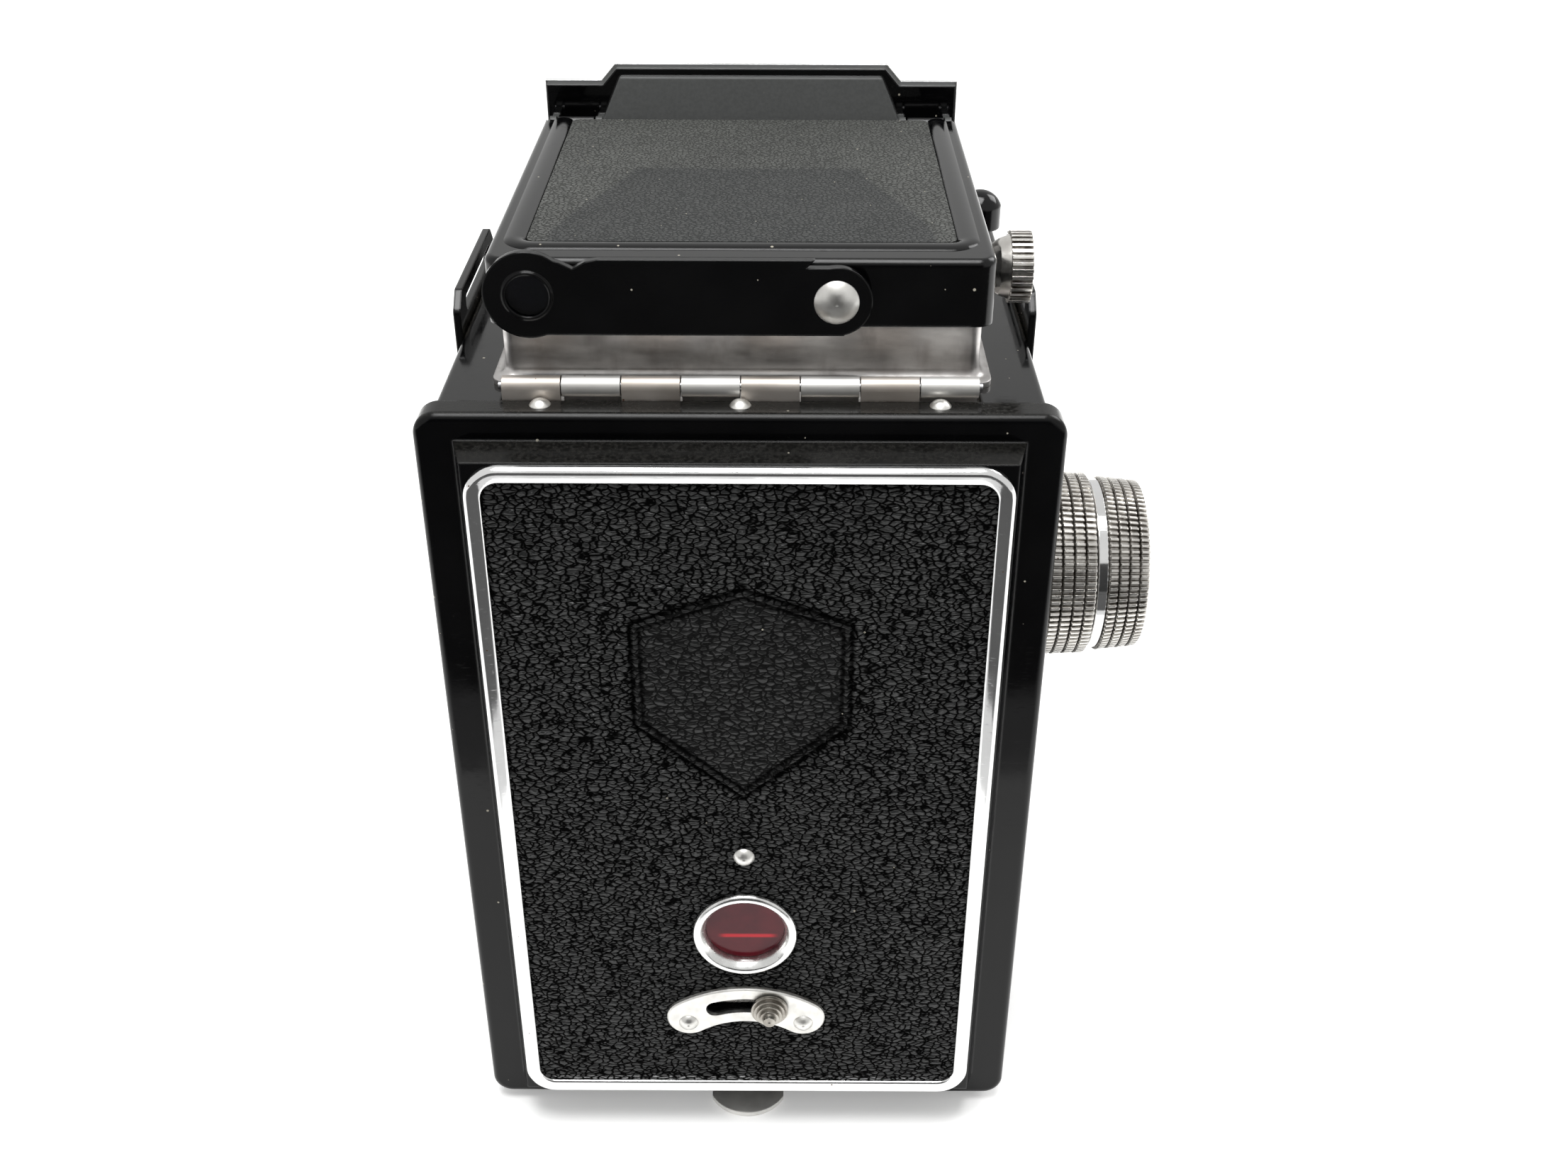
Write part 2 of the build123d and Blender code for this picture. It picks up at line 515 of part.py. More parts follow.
# ---- knobs, spool and rollers -------------------------------------------------------------------
def grooved_knob(x_start, x_end, r_start, r_end, bands, groove):
    """A knob profile with flat bands and narrow grooves, along -X from x_start to x_end."""
    pitch = (x_start - x_end) / bands
    profile = []
    for i in range(bands):
        r = r_start + (r_end - r_start) * i / max(bands - 1, 1)
        a = x_start - pitch * i
        profile += [(a, r - groove), (a - 0.15, r - groove), (a - 0.3, r), (a - pitch + 0.15, r),
                    (a - pitch, r - groove)]
    return profile


def focus_knob():
    """Inner knurled knob, its sleeve through the body's side and the cam disc inside."""
    bands = grooved_knob(KNOB_IN_X, KNOB_SPLIT_X, KNOB_R + 0.3, KNOB_R - 0.1, 5, 0.7)
    knob = turned_x([(KNOB_IN_X, 0)] + bands + [(KNOB_SPLIT_X, 0)], TAKEUP_Y, TAKEUP_Z)
    knob += rod_x(KNOB_IN_X - 0.1, -35.4, TAKEUP_Y, TAKEUP_Z, 6.0)
    knob += rod_x(-36.4, -34.9, TAKEUP_Y - 1.5, TAKEUP_Z, 9.0)
    return knob - rod_x(-60, -30, TAKEUP_Y, TAKEUP_Z, 4.0 + RUN)


def wind_knob():
    """Outer knob: a plain turned band, then four knurled bands that taper to a rounded end."""
    start = KNOB_SPLIT_X - 0.15
    plain = [(start, 0), (start, 11.8), (start - 1.4, 11.8)]
    bands = grooved_knob(start - 1.4, KNOB_OUT_X + 0.3, 12.1, 11.4, 4, 0.7)
    end = [(KNOB_OUT_X + 0.3, 10.4), (KNOB_OUT_X, 9.6), (KNOB_OUT_X, 8.0), (KNOB_OUT_X + 0.5, 7.5),
           (KNOB_OUT_X + 0.5, 0)]
    knob = turned_x(plain + bands + end, TAKEUP_Y, TAKEUP_Z)
    return knob - rod_x(KNOB_OUT_X + 1.5, -40, TAKEUP_Y, TAKEUP_Z, 4.0)


def wind_shaft():
    shaft = rod_x(KNOB_OUT_X + 1.5, -32.3, TAKEUP_Y, TAKEUP_Z, 4.0)
    return shaft + block(-32.4, -29.2, TAKEUP_Y - 0.6, TAKEUP_Y + 0.6, TAKEUP_Z - 3.0, TAKEUP_Z + 3.0)


def takeup_spool():
    """A standard 120 spool: two flanges on a tube, keyed at one end."""
    half = SPOOL_W / 2
    profile = [(-half, 0), (-half, SPOOL_R), (-half + 0.8, SPOOL_R), (-half + 0.8, 5.75),
               (half - 0.8, 5.75), (half - 0.8, SPOOL_R), (half, SPOOL_R), (half, 0)]
    spool = turned_x(profile, TAKEUP_Y, TAKEUP_Z)
    spool -= rod_x(half - 6, half + 1, TAKEUP_Y, TAKEUP_Z, 2.4 + RUN)
    spool -= block(-half - 1, -half + 3.0, TAKEUP_Y - 0.7, TAKEUP_Y + 0.7, TAKEUP_Z - 3.2, TAKEUP_Z + 3.2)
    return spool - block(-24, 24, TAKEUP_Y - 0.6, TAKEUP_Y + 0.6, TAKEUP_Z + 2.5, TAKEUP_Z + 7)


def film_roller(z):
    half = FRAME_W / 2 - 0.3
    profile = [(-half, 0), (-half, ROLLER_R), (half, ROLLER_R), (half, 0)]
    roller = turned_x(profile, ROLLER_Y, z)
    return roller + rod_x(-FRAME_W / 2 - FRAME_WALL, FRAME_W / 2 + FRAME_WALL, ROLLER_Y, z, 0.9)


def spool_knob(y, z):
    """A pull-out knob on the body's side whose pin holds one end of a film spool."""
    profile = [(28.0, 0), (28.0, 1.8), (28.6, 2.4), (39.2, 2.4), (39.2, 4.3), (39.6, 4.8), (41.2, 4.8),
               (42.0, 4.2), (42.0, 0)]
    return turned_x(profile, y, z)


def release_button():
    button = rod_z(RELEASE_X, RELEASE_Y, 120.8, 124.2, 3.2)
    button += dome_z(RELEASE_X, RELEASE_Y, 124.2, 3.2, 2.2)
    return button + rod_z(RELEASE_X, RELEASE_Y, 114.3, 121.0, 1.5)


# ---- lens board and shutter ---------------------------------------------------------------------
def lens_collar():
    collar = rounded_panel(55.0, 9.0, 111.0, 4.0, BODY_FRONT_Y - 5.0, 5.0)
    return collar - rounded_panel(52.6, 10.2, 109.8, 3.0, BODY_FRONT_Y - 6.0, 8.0)


def lens_board():
    board = rounded_panel(58.6, 7.2, 112.8, 5.0, -48.0, 8.2)
    board = fillet(board.faces().sort_by(Axis.Y)[0].edges(), 1.0)
    board -= rounded_panel(55.8, 8.6, 111.4, 4.2, -46.4, 8.0)
    for z in (TAKING_Z, VIEWING_Z):
        board -= rod_y(0, -50, -40, z, 12.0 + RUN)
    return board


def shutter_housing():
    """The shutter's drum and hub, with the rear lens cell behind the board."""
    profile = [(8.5, -41.0), (12.0, -41.0), (12.0, -48.0), (SHUTTER_R - 0.8, -48.0), (SHUTTER_R, -48.8),
               (SHUTTER_R, -54.2), (SHUTTER_R - 0.8, -55.0), (HUB_R, -55.0), (HUB_R, -62.0), (10.5, -62.0),
               (10.5, -54.0), (8.5, -54.0)]
    return turned_y(profile, 0, TAKING_Z)


def lever_ring(y, degrees, reach, width):
    """A thin ring that runs on the shutter's hub, with one lever arm pointing outwards."""
    ring = rod_y(0, y - 1.0, y, TAKING_Z, 18.0)
    arm = block(-width / 2, width / 2, y - 1.0, y, TAKING_Z, TAKING_Z + reach)
    arm += rod_y(0, y - 2.4, y, TAKING_Z + reach, width * 0.7)
    arm = Pos(0, 0, TAKING_Z) * Rot(0, degrees, 0) * Pos(0, 0, -TAKING_Z) * arm
    return ring + arm - rod_y(0, y - 5, y + 1, TAKING_Z, HUB_R + RUN)


def speed_ring():
    notches = 48
    ring = rod_y(0, -61.2, -58.8, TAKING_Z, 21.0)
    ring = chamfer(ring.faces().sort_by(Axis.Y)[0].edges(), 0.6)
    ring -= rod_y(0, -62, -58, TAKING_Z, HUB_R + RUN)
    for i in range(notches):
        a = 2 * math.pi * i / notches
        x, z = 21.2 * math.cos(a), TAKING_Z + 21.2 * math.sin(a)
        ring -= rod_y(x, -60.4, -58.0, z, 0.5)
    return ring


def taking_cell():
    profile = [(9.0, -57.0), (10.4, -57.0), (10.4, -62.2), (14.5, -62.2), (14.5, -63.4), (12.0, -65.0),
               (10.2, -65.0), (9.0, -61.5)]
    return turned_y(profile, 0, TAKING_Z)


def viewing_barrel():
    profile = [(9.5, -41.0), (12.0, -41.0), (12.0, -48.0), (15.0, -48.0), (15.0, -57.0), (14.2, -58.0),
               (13.0, -58.0), (11.5, -54.5), (11.5, -51.0), (9.5, -51.0)]
    return turned_y(profile, 0, VIEWING_Z)


def main():
    save(body_shell(), "body_shell")
    save(base_plate(), "base_plate")
    save(tripod_bush(), "tripod_bush")
    save(inner_frame(), "inner_frame")
    save(finder_mirror(), "finder_mirror")
    save(mirror_carrier(), "mirror_carrier")
    save(screen_frame(), "screen_frame")
    save(ground_glass(), "ground_glass")
    save(hood_base(), "hood_base")
    save(hood_front(), "hood_front")
    save(front_escutcheon(), "front_escutcheon")
    save(lid_hinge_pins(), "lid_hinge_pins")
    save(flap_pins(), "flap_pins")
    save(hinge_leaf(0, HINGE_Y - HINGE_R, (29.0, 32.7, 117.5, BODY_TOP)), "body_hinge_leaf")
    save(hinge_leaf(1, HINGE_Y + HINGE_R - 0.6, (34.1, 37.6, 117.9, 118.5)), "door_hinge_leaf")
    save(hinge_pin(), "hinge_pin")
    save(lens_collar(), "lens_collar")
    for side, word in ((1, "left"), (-1, "right")):
        save(side_leather(side), f"leather_{word}")
        save(strap_lug(side), f"strap_lug_{word}")
        save(side_flap(side), f"hood_flap_{word}")

    save(door_shell(), "door_shell")
    save(door_bezel(), "door_bezel")
    save(door_leather(), "door_leather")
    save(window_ring(), "window_ring")
    save(window_glass(), "window_glass")
    save(slot_plate(), "slot_plate")
    save(door_rivets(), "door_rivets")
    save(pressure_plate(), "pressure_plate")
    save(pressure_spring(), "pressure_spring")
    save(window_blade(), "window_blade")
    save(window_knob(), "window_knob")
    save(latch_slide(), "latch_slide")

    save(hood_lid(), "hood_lid")
    save(lid_leather(), "lid_leather")
    save(arm_pivot(), "arm_pivot")
    save(sight_arm(), "sight_arm")
    save(sight_lens(), "sight_lens")
    save(catch_knob(), "catch_knob")

    save(focus_knob(), "focus_knob")
    save(wind_knob(), "wind_knob")
    save(wind_shaft(), "wind_shaft")
    save(takeup_spool(), "takeup_spool")
    save(film_roller(ROLLER_LOW_Z), "roller_lower")
    save(film_roller(ROLLER_HIGH_Z), "roller_upper")
    save(spool_knob(TAKEUP_Y, TAKEUP_Z), "spool_knob_upper")
    save(spool_knob(SUPPLY_Y, SUPPLY_Z), "spool_knob_lower")
    save(release_button(), "release_button")

    save(lens_board(), "lens_board")
    save(shutter_housing(), "shutter_housing")
    save(lever_ring(-55.2, -70, 24.0, 3.0), "aperture_lever")
    save(lever_ring(-56.4, 60, 24.5, 3.0), "cocking_lever")
    save(lever_ring(-57.6, 150, 23.5, 3.0), "shutter_lever")
    save(speed_ring(), "speed_ring")
    save(taking_cell(), "taking_cell")
    save(lens_disc(TAKING_Z, -59.0, -62.0, 9.0, 1.6), "taking_glass")
    save(viewing_barrel(), "viewing_barrel")
    save(lens_disc(VIEWING_Z, -51.0, -54.0, 11.5, 2.0), "viewing_glass")


main()
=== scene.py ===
import json
import math

import bpy
import numpy as np
from mathutils import Matrix, Vector


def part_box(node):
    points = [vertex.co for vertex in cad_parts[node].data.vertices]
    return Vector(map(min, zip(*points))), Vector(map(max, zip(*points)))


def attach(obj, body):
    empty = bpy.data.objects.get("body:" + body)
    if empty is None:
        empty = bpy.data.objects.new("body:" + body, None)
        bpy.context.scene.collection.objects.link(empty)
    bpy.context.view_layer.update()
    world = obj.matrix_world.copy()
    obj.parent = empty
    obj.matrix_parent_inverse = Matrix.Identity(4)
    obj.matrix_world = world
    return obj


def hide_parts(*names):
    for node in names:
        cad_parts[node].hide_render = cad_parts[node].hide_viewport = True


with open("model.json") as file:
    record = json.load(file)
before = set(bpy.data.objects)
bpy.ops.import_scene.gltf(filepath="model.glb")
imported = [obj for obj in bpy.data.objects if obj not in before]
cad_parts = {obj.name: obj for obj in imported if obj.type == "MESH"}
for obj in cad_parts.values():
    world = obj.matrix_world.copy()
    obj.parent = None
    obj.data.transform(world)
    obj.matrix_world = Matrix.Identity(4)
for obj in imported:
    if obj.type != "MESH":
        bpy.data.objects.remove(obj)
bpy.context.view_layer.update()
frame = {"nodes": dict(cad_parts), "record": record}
NODES = frame["nodes"]
SLOT_OF = {part["node"]: part["material_slot"] for part in frame["record"]["subparts"]}
MM = 0.001


def span(node):
    """Lowest and highest corner of a CAD node, in millimetres."""
    low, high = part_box(node)
    return Vector(low) / MM, Vector(high) / MM


# ---- materials ----------------------------------------------------------------------------------
# Nearly all values of a noise texture lie between these two.
NOISE_LOW, NOISE_HIGH = 0.3, 0.7


class Finish:
    """A material under construction: each call adds one feature to its colour, roughness or relief."""

    def __init__(self, name, dark, light, rough, metallic=0.0, tone_mm=6.0, stretch=(1, 1, 1)):
        self.material = bpy.data.materials.new(name)
        self.material.use_nodes = True
        self.tree = self.material.node_tree
        self.shader = self.tree.nodes["Principled BSDF"]
        self.shader.inputs["Metallic"].default_value = metallic
        self.normal = None
        tone = self.noise(tone_mm, stretch, detail=6.0)
        self.colour = self.blend(self.remap(tone, NOISE_LOW, NOISE_HIGH, 0, 1), dark, light)
        patches = self.noise(tone_mm * 0.6, stretch, detail=5.0)
        self.rough = self.remap(patches, NOISE_LOW, NOISE_HIGH, *rough)

    def node(self, kind, **settings):
        node = self.tree.nodes.new("ShaderNode" + kind)
        for key, value in settings.items():
            setattr(node, key, value)
        return node

    def put(self, value, socket):
        if isinstance(value, bpy.types.NodeSocket):
            self.tree.links.new(value, socket)
        elif isinstance(value, tuple) and len(value) == 3 and socket.type == "RGBA":
            socket.default_value = (*value, 1.0)
        else:
            socket.default_value = value

    def place(self, size_mm, stretch=(1, 1, 1)):
        """Object coordinates in cells of size_mm, longer along the axes whose stretch is more than 1."""
        mapping = self.node("Mapping")
        self.put(self.node("TexCoord").outputs["Object"], mapping.inputs["Vector"])
        mapping.inputs["Scale"].default_value = [1 / (size_mm * MM * s) if s else 0.0 for s in stretch]
        return mapping.outputs["Vector"]

    def axes(self, source="Object"):
        """The x, y and z of a texture coordinate."""
        parts = self.node("SeparateXYZ")
        self.put(self.node("TexCoord").outputs[source], parts.inputs[0])
        return tuple(parts.outputs)

    def noise(self, size_mm, stretch=(1, 1, 1), detail=3.0):
        noise = self.node("TexNoise")
        self.put(self.place(size_mm, stretch), noise.inputs["Vector"])
        noise.inputs["Scale"].default_value = 1.0
        noise.inputs["Detail"].default_value = detail
        return noise.outputs["Fac"]

    def cells(self, vector, feature="F1"):
        cells = self.node("TexVoronoi", feature=feature)
        self.put(vector, cells.inputs["Vector"])
        cells.inputs["Scale"].default_value = 1.0
        return cells

    def warped(self, vector, coarse, amount):
        """The vector pushed about by a slower noise, which makes the walls of its cells wavy."""
        wander = self.node("TexNoise")
        self.put(vector, wander.inputs["Vector"])
        wander.inputs["Scale"].default_value = coarse
        wander.inputs["Detail"].default_value = 2.0
        shift = self.node("VectorMath", operation="SCALE")
        self.put(wander.outputs["Color"], shift.inputs[0])
        shift.inputs["Scale"].default_value = amount
        moved = self.node("VectorMath", operation="ADD")
        self.put(vector, moved.inputs[0])
        self.put(shift.outputs[0], moved.inputs[1])
        return moved.outputs[0]

    def remap(self, value, from_low, from_high, to_low, to_high):
        remap = self.node("MapRange", interpolation_type="SMOOTHSTEP")
        for socket, number in zip(remap.inputs, (value, from_low, from_high, to_low, to_high)):
            self.put(number, socket)
        return remap.outputs["Result"]

    def maths(self, operation, a, b=0.0):
        node = self.node("Math", operation=operation)
        self.put(a, node.inputs[0])
        self.put(b, node.inputs[1])
        return node.outputs[0]

    def blend(self, factor, a, b):
        """Mixes two colours. A Mix node keeps its colour sockets at 6 and 7, and at 2 on the way out."""
        mix = self.node("Mix", data_type="RGBA")
        self.put(factor, mix.inputs[0])
        self.put(a, mix.inputs[6])
        self.put(b, mix.inputs[7])
        return mix.outputs[2]

    def soft_edges(self, radius_mm):
        """Rounds every edge in the shading, as a thick coat of enamel or plating does."""
        bevel = self.node("Bevel", samples=4)
        bevel.inputs["Radius"].default_value = radius_mm * MM
        self.normal = bevel.outputs["Normal"]
        return self

    def relief(self, height, depth_mm, strength=1.0):
        bump = self.node("Bump")
        bump.inputs["Distance"].default_value = depth_mm * MM
        self.put(strength, bump.inputs["Strength"])
        self.put(height, bump.inputs["Height"])
        if self.normal:
            self.put(self.normal, bump.inputs["Normal"])
        self.normal = bump.outputs["Normal"]
        return self

    def grain(self, size_mm, depth_mm, stretch=(1, 1, 1)):
        return self.relief(self.noise(size_mm, stretch, detail=4.0), depth_mm)

    def stain(self, mask, colour, rough):
        self.colour = self.blend(mask, self.colour, colour)
        self.rough = self.maths("ADD", self.rough, self.maths("MULTIPLY", mask, rough))
        return self

    def specks(self, cell_mm, share, size, colour, rough=0.3):
        """Separate dots: one in some of the cells, each of its own size."""
        cells = self.cells(self.place(cell_mm))
        parts = self.node("SeparateColor")
        self.put(cells.outputs["Color"], parts.inputs[0])
        limit = self.maths("MULTIPLY", self.remap(parts.outputs[0], 1 - share, 1.0, 0.0, 1.0), size)
        mask = self.maths("LESS_THAN", cells.outputs["Distance"], limit)
        return self.stain(mask, colour, rough)

    def dirt_and_shade(self, reach_mm, colour, rough, strength):
        """Colours narrow hollows found by ambient occlusion: grime and dust where polish never reaches,
        and painted shade where the colour is darker than the surface.
        """
        shade = self.node("AmbientOcclusion", samples=6)
        shade.inputs["Distance"].default_value = reach_mm * MM
        hollow = self.remap(shade.outputs["AO"], 0.35, 0.85, strength, 0.0)
        uneven = self.remap(self.noise(2.2, detail=4.0), 0.3, 0.62, 0.35, 1.0)
        return self.stain(self.maths("MULTIPLY", hollow, uneven), colour, rough)

    def dust_and_sheen(self, from_slope, to_slope, colour, amount, thin=0.35):
        """Dust and painted sheen on faces that look upwards: from_slope and to_slope are the upward part
        of the normal.
        """
        facing = self.remap(self.axes("Normal")[2], from_slope, to_slope, 0.0, amount)
        uneven = self.remap(self.noise(0.5, detail=6.0), NOISE_LOW, NOISE_HIGH, thin, 1.0)
        return self.stain(self.maths("MULTIPLY", facing, uneven), colour, 0.3)

    def scratches(self, depth_mm, stretch=(14, 1, 1)):
        lines = self.remap(self.noise(0.25, stretch, detail=2.0), 0.62, 0.72, 0.0, 1.0)
        self.rough = self.maths("ADD", self.rough, self.maths("MULTIPLY", lines, 0.12))
        return self.relief(lines, depth_mm)

    def done(self, **inputs):
        self.put(self.colour, self.shader.inputs["Base Color"])
        self.put(self.rough, self.shader.inputs["Roughness"])
        if self.normal:
            self.put(self.normal, self.shader.inputs["Normal"])
        for name, value in inputs.items():
            self.put(value, self.shader.inputs[name.replace("_", " ")])
        return self.material


DUST = (0.30, 0.28, 0.23)
# Brown grime; laid into hollows it also serves as painted shade.
GRIME_AND_SHADE = (0.07, 0.055, 0.04)


def enamel(name, dust=0.25, shine=0.34):
    """Glossy black stoving enamel, not yet closed with done."""
    finish = Finish(name, (0.0008, 0.0008, 0.0010), (0.0018, 0.0018, 0.0020), (0.05, 0.12), tone_mm=9)
    finish.shader.inputs["Specular IOR Level"].default_value = shine
    finish.soft_edges(0.4).grain(1.8, 0.005).scratches(0.0015, (9, 1.3, 1))
    return finish.specks(1.9, dust, 0.10, DUST)


def door_enamel():
    # Faces that look up are lighter: patchy dust, with some painted sheen.
    return enamel("door_enamel", 0.35, 0.22).dust_and_sheen(0.5, 0.98, (0.012, 0.0115, 0.010), 0.7).done()


def body_enamel():
    return enamel("body_enamel", 0.35).dirt_and_shade(1.3, (0.055, 0.050, 0.042), 0.3, 0.5).done()


def hood_enamel():
    """The hood's front wall: its sloping middle is painted a dull grey, a painted sheen of the bright
    room above it, with some dust.
    """
    return enamel("hood_enamel", 0.35).dust_and_sheen(0.12, 0.32, (0.056, 0.058, 0.057), 1.0, 0.85).done()


def matt_black():
    finish = Finish("matt_black", (0.010, 0.010, 0.010), (0.018, 0.018, 0.018), (0.5, 0.68), tone_mm=4)
    return finish.soft_edges(0.2).grain(0.35, 0.02).specks(2.4, 0.2, 0.08, DUST).done()


def press_flat(finish, pebble):
    """Lower, duller pebbles where the mesh is pressed, and none in its grooves, which get painted shade.

    Returns the new pebble mask and the strength of the relief.
    """
    pressed = finish.node("Attribute", attribute_name="pressed").outputs["Fac"]
    groove = finish.node("Attribute", attribute_name="groove").outputs["Fac"]
    pebble = finish.maths("MAXIMUM", pebble, finish.maths("MULTIPLY", pressed, 0.3))
    finish.stain(finish.maths("MULTIPLY", pressed, 0.6), (0.003, 0.003, 0.003), 0.1)
    # Painted shade: the grooves are coloured near black.
    cut = finish.maths("MULTIPLY", groove, 0.75)
    finish.stain(cut, (0.0004, 0.0004, 0.0004), 0.3)
    pebble = finish.maths("MULTIPLY", pebble, finish.maths("SUBTRACT", 1.0, cut))
    return pebble, finish.remap(pressed, 0.0, 1.0, 1.0, 0.45)


def pebbled(name, stretch, dark, light, rough, pebble_mm=0.66, depth_mm=0.60, crease_shade=0.97,
            shine=0.36, pressed=False):
    """Leathercloth: pebbles parted by wavy creases that run along the stretched axis.

    The creases get painted shade: a crease setting says how black and dull they are. Not yet closed with
    done.
    """
    finish = Finish(name, dark, light, rough, tone_mm=12)
    vector = finish.warped(finish.place(pebble_mm, stretch), 0.55, 1.3)
    edge = finish.cells(vector, "DISTANCE_TO_EDGE").outputs["Distance"]
    crown = finish.cells(vector, "SMOOTH_F1").outputs["Distance"]
    pebble = finish.remap(edge, 0.02, 0.20, 0.0, 1.0)
    slow = finish.noise(pebble_mm * 2.4, stretch, detail=3.0)
    waves = finish.remap(slow, NOISE_LOW, NOISE_HIGH, -0.35, 0.35)
    height = finish.maths("SUBTRACT", pebble, finish.maths("MULTIPLY", crown, 0.9))
    height = finish.maths("ADD", height, waves)
    strength = 1.0
    if pressed:
        pebble, strength = press_flat(finish, pebble)
    finish.relief(height, depth_mm, strength).grain(0.12, 0.006)
    crease_shade_mask = finish.maths("SUBTRACT", 1.0, pebble)
    # Painted shade: the creases between pebbles are coloured near black and their gloss is lowered.
    finish.stain(finish.maths("MULTIPLY", crease_shade_mask, crease_shade), (0.0006, 0.0006, 0.0006), 0.45)
    gloss = finish.remap(pebble, 0.0, 1.0, shine * (1 - crease_shade), shine)
    finish.put(gloss, finish.shader.inputs["Specular IOR Level"])
    return finish.specks(2.6, 0.14, 0.07, DUST)


def lid_leather_finish():
    """Finer leather, a little faded, with a smoother trapezoid where hands have rubbed it."""
    finish = pebbled("lid_leather_worn", (1.25, 1, 0), (0.048, 0.0500, 0.0460), (0.062, 0.0645, 0.0590),
                     (0.34, 0.46), pebble_mm=0.52, depth_mm=0.12, crease_shade=0.6, shine=0.5)
    half_width, blur, widening = 14.8 * MM, 1.0 * MM, 9.0 * MM
    low, high = span("lid_leather")
    near, depth = high.y * MM, (high.y - low.y) * MM
    x, y, _ = finish.axes()
    towards_near = finish.remap(y, near - depth * 0.62, near, 0.0, 1.0)
    slant = finish.maths("MULTIPLY", towards_near, widening)
    from_side = finish.maths("SUBTRACT", finish.maths("ABSOLUTE", x), slant)
    inside = finish.remap(from_side, half_width, half_width + blur, 1.0, 0.0)
    started = finish.remap(y, near - depth * 0.57, near - depth * 0.53, 0.0, 1.0)
    rubbed = finish.maths("MULTIPLY", inside, started)
    finish.stain(finish.maths("MULTIPLY", rubbed, 0.85), (0.019, 0.0205, 0.0205), 0.06)
    return finish.specks(1.5, 0.3, 0.09, (0.36, 0.34, 0.28)).done()


def chrome():
    finish = Finish("chrome", (0.80, 0.80, 0.80), (0.90, 0.90, 0.90), (0.05, 0.11), 1.0, tone_mm=8)
    finish.soft_edges(0.15).grain(2.5, 0.004).scratches(0.001)
    return finish.specks(1.3, 0.16, 0.10, (0.14, 0.10, 0.07), 0.5).done()


def ring_chrome():
    finish = Finish("ring_chrome", (0.74, 0.74, 0.73), (0.90, 0.90, 0.89), (0.16, 0.30), 1.0, tone_mm=2)
    finish.grain(0.5, 0.006).dirt_and_shade(0.6, GRIME_AND_SHADE, 0.3, 0.8)
    return finish.specks(0.8, 0.16, 0.10, (0.14, 0.10, 0.07), 0.4).done()


def nickel(name, rough=(0.16, 0.3), dirt_and_shade=0.9, reach=0.7):
    finish = Finish(name, (0.60, 0.58, 0.55), (0.80, 0.78, 0.74), rough, 1.0, tone_mm=3)
    finish.soft_edges(0.10).grain(0.5, 0.004).dirt_and_shade(reach, GRIME_AND_SHADE, 0.35, dirt_and_shade)
    return finish.specks(0.9, 0.12, 0.12, (0.16, 0.11, 0.07), 0.5).done()


def bright_nickel():
    finish = Finish("bright_nickel", (0.66, 0.65, 0.62), (0.80, 0.79, 0.76), (0.32, 0.46), 1.0, tone_mm=2)
    # The hollows round the rivets are darkened: grime, with painted shade.
    finish.soft_edges(0.12).grain(0.5, 0.004).dirt_and_shade(0.9, GRIME_AND_SHADE, 0.35, 0.9)
    return finish.specks(0.9, 0.12, 0.10, (0.2, 0.15, 0.10), 0.4).done()


def hinge_nickel(name, dark, light):
    finish = Finish(name, dark, light, (0.40, 0.52), 0.8, tone_mm=4, stretch=(3, 1, 1))
    # The slits between knuckles are darkened: grime, with painted shade.
    finish.soft_edges(0.12).grain(0.4, 0.004, (6, 1, 1)).dirt_and_shade(0.5, (0.05, 0.035, 0.03), 0.3, 0.9)
    return finish.specks(1.2, 0.15, 0.14, (0.12, 0.06, 0.04), 0.4).done()


def dull_nickel():
    finish = Finish("dull_nickel", (0.30, 0.28, 0.25), (0.46, 0.44, 0.40), (0.24, 0.36), 1.0, tone_mm=2)
    return finish.soft_edges(0.08).grain(0.4, 0.004).dirt_and_shade(0.6, GRIME_AND_SHADE, 0.35, 1.0).done()


def worn_tab():
    finish = Finish("worn_tab", (0.66, 0.65, 0.63), (0.80, 0.79, 0.76), (0.42, 0.56), 0.6, tone_mm=3)
    return finish.soft_edges(0.3).grain(0.5, 0.006).specks(0.8, 0.15, 0.1, GRIME_AND_SHADE).done()


def steel():
    finish = Finish("steel", (0.34, 0.34, 0.35), (0.46, 0.46, 0.47), (0.26, 0.36), 1.0, tone_mm=3)
    return finish.grain(0.18, 0.004, (12, 1, 1)).done()


def satin_alloy():
    finish = Finish("satin_alloy", (0.46, 0.445, 0.435), (0.72, 0.70, 0.685), (0.30, 0.42), 1.0,
                    tone_mm=7, stretch=(1, 1, 0.35))
    finish.soft_edges(0.25).grain(0.14, 0.006, (1, 1, 9)).dirt_and_shade(1.2, (0.10, 0.09, 0.08), 0.2, 0.4)
    tarnish = finish.remap(finish.noise(4.5, (1, 1, 2), detail=5.0), 0.5, 0.72, 0.0, 0.45)
    finish.stain(tarnish, (0.20, 0.165, 0.155), 0.1)
    return finish.specks(3.0, 0.12, 0.10, (0.05, 0.045, 0.04), 0.3).done()


